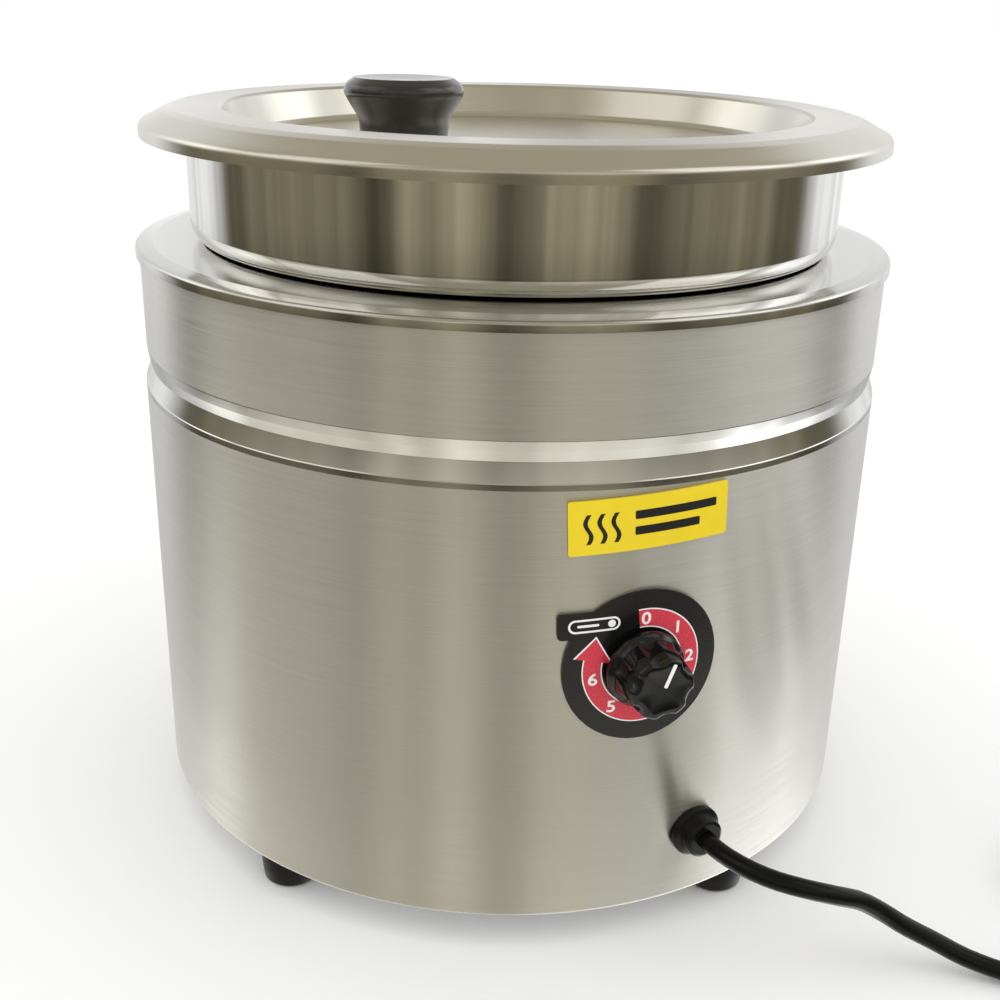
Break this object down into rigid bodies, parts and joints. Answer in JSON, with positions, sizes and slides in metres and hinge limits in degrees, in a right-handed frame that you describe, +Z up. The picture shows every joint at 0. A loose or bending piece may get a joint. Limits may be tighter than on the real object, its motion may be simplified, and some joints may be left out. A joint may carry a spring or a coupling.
{
  "type": "electric soup kettle",
  "caption": "Round brushed-steel countertop soup warmer with a lift-out pot, a loose dished lid with an off-centre knob, a front thermostat control and a mains lead.",
  "frame": {"origin": "centre of the base cover's flat underside, on the kettle's axis", "axes": "+Z up along the kettle's axis, -Y towards the thermostat control, +X to the right seen from the control's side"},
  "size_m": [0.463, 0.4308, 0.3279],
  "materials": {
    "brushed_steel": "brushed round the drum",
    "polished_steel": "mirror polished",
    "satin_steel": "fine satin",
    "plated_steel": "zinc plated",
    "black_phenolic": "satin moulded",
    "black_gloss": "glossy moulded",
    "white_print": "printed line",
    "dial_print": "black print with a red scale",
    "yellow_label": "printed foil label",
    "black_rubber": "matt moulded",
    "cord_jacket": "extruded jacket",
    "black_nylon": "moulded",
    "mineral_wool": "fibrous",
    "ceramic": "unglazed",
    "brass": "machined",
    "copper": "drawn tube",
    "wire_red": "wire sleeve",
    "wire_white": "wire sleeve",
    "wire_green": "wire sleeve"
  },
  "bodies": {
    "kettle": {"outer_shell": "brushed_steel", "well_pan": "satin_steel", "dial_plate": "dial_print", "heat_label": "yellow_label", "thermostat_body": "plated_steel", "thermostat_nut": "brass", "heating_element": "plated_steel", "element_clamp": "plated_steel", "heat_shield": "plated_steel", "limit_cutout": "ceramic", "sensing_bulb": "copper", "capillary_tube": "copper", "insulation_ring": "mineral_wool", "terminal_block": "ceramic", "earth_stud": "brass", "supply_tail": "cord_jacket", "lead_line": "wire_red", "lead_control": "wire_red", "lead_neutral": "wire_white", "lead_limit": "wire_white", "lead_earth": "wire_green", "base_cover": "plated_steel", "cord_bushing": "black_nylon", "power_cord": "cord_jacket", "cord_coil": "cord_jacket", "coil_tie": "black_rubber", "plug_body": "cord_jacket", "plug_blade_1": "brass", "plug_blade_2": "brass", "plug_earth_pin": "brass", "clamp_stud_1": "plated_steel", "clamp_spacer_1": "plated_steel", "clamp_nut_1": "plated_steel", "clamp_stud_2": "plated_steel", "clamp_spacer_2": "plated_steel", "clamp_nut_2": "plated_steel", "clamp_stud_3": "plated_steel", "clamp_spacer_3": "plated_steel", "clamp_nut_3": "plated_steel", "foot_1": "black_rubber", "foot_screw_1": "plated_steel", "foot_nut_1": "plated_steel", "foot_2": "black_rubber", "foot_screw_2": "plated_steel", "foot_nut_2": "plated_steel", "foot_3": "black_rubber", "foot_screw_3": "plated_steel", "foot_nut_3": "plated_steel", "foot_4": "black_rubber", "foot_screw_4": "plated_steel", "foot_nut_4": "plated_steel"},
    "pot": {"inset_pot": "polished_steel"},
    "lid_assembly": {"lid": "satin_steel", "lid_knob": "black_phenolic", "lid_knob_washer": "plated_steel", "lid_knob_screw": "plated_steel"},
    "control": {"control_knob": "black_gloss", "knob_pointer": "white_print", "thermostat_shaft": "brass"}
  },
  "joints": [
    {"name": "pot_lift", "type": "slide", "parent": "kettle", "child": "pot", "axis": [0, 0, 1], "range_m": [0, 0.24]},
    {"name": "lid_lift", "type": "slide", "parent": "pot", "child": "lid_assembly", "axis": [0, 0, 1], "range_m": [0, 0.15]},
    {"name": "thermostat_turn", "type": "hinge", "parent": "kettle", "child": "control", "pos_m": [0, -0.165, 0.1142], "axis": [0, -1, 0], "range_deg": [-238, 20]}
  ]
}
